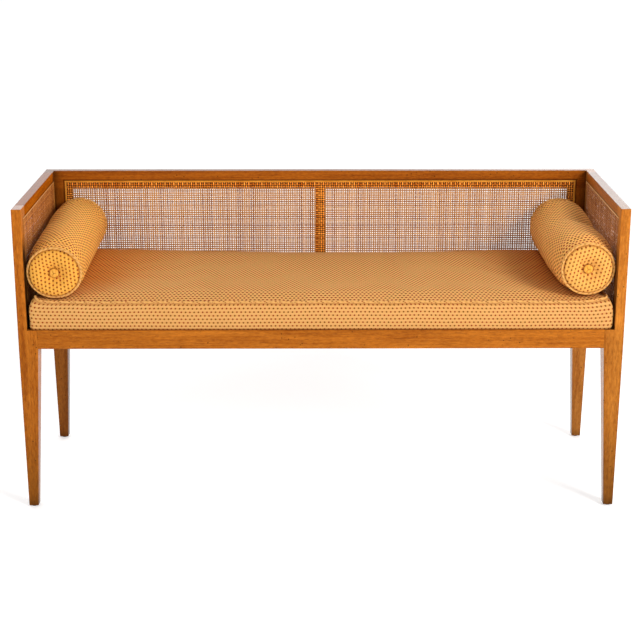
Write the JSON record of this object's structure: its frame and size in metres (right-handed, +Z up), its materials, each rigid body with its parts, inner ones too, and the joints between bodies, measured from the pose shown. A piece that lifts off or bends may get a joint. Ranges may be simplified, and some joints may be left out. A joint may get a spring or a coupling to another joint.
{
  "type": "window bench",
  "caption": "Low wooden window bench with caned back and arms, square tapered legs, a boxed upholstered seat and loose round bolsters with buttoned ends.",
  "frame": {"origin": "on the floor, under the middle of the bench", "axes": "+X along the bench to the right as seen from the front, -Y out of the front, +Z up"},
  "size_m": [1.372, 0.47, 0.71],
  "materials": {
    "wood_frame": "satin, golden brown",
    "inner_wood": "bare, sawn",
    "dowel": "bare",
    "plywood": "bare",
    "cane": "woven, satin",
    "reed": "satin",
    "seat_fabric": "ribbed weave, golden yellow with small red-brown dots in staggered rows",
    "dust_cloth": "thin black felt",
    "twine": "plain",
    "steel": "zinc plated",
    "glide": "dark"
  },
  "bodies": {
    "bench": {"arm_frame_dowels": "dowel", "back_cane": "cane", "back_cane_spline": "reed", "back_centre_stile": "wood_frame", "back_crest_rail": "wood_frame", "back_frame_dowels": "dowel", "back_left_corner_block": "inner_wood", "back_left_leg": "wood_frame", "back_left_seat_cleat": "inner_wood", "back_left_stile": "wood_frame", "back_lower_rail": "wood_frame", "back_right_corner_block": "inner_wood", "back_right_leg": "wood_frame", "back_right_seat_cleat": "inner_wood", "back_right_stile": "wood_frame", "back_seat_rail": "wood_frame", "cleat_screws": "steel", "corner_block_screws": "steel", "dust_cover": "dust_cloth", "foot_glides": "glide", "front_left_corner_block": "inner_wood", "front_left_leg": "wood_frame", "front_right_corner_block": "inner_wood", "front_right_leg": "wood_frame", "front_seat_rail": "wood_frame", "left_arm_cane": "cane", "left_arm_cane_spline": "reed", "left_arm_lower_rail": "wood_frame", "left_arm_top_rail": "wood_frame", "left_seat_cleat": "inner_wood", "left_seat_rail": "wood_frame", "right_arm_cane": "cane", "right_arm_cane_spline": "reed", "right_arm_lower_rail": "wood_frame", "right_arm_top_rail": "wood_frame", "right_seat_cleat": "inner_wood", "right_seat_rail": "wood_frame", "seat_board": "plywood", "seat_cross_rail": "inner_wood", "seat_cushion": "seat_fabric", "seat_frame_dowels": "dowel", "seat_screws": "steel", "seat_welt": "seat_fabric"},
    "left_bolster": {"left_bolster_buttons": "seat_fabric", "left_bolster_pad": "seat_fabric", "left_bolster_twine": "twine", "left_bolster_welts": "seat_fabric"},
    "right_bolster": {"right_bolster_buttons": "seat_fabric", "right_bolster_pad": "seat_fabric", "right_bolster_twine": "twine", "right_bolster_welts": "seat_fabric"}
  },
  "joints": [
    {"name": "left_bolster_lift", "type": "slide", "parent": "bench", "child": "left_bolster", "axis": [0, 0, 1], "range_m": [0, 0.25]},
    {"name": "right_bolster_lift", "type": "slide", "parent": "bench", "child": "right_bolster", "axis": [0, 0, 1], "range_m": [0, 0.25]}
  ]
}
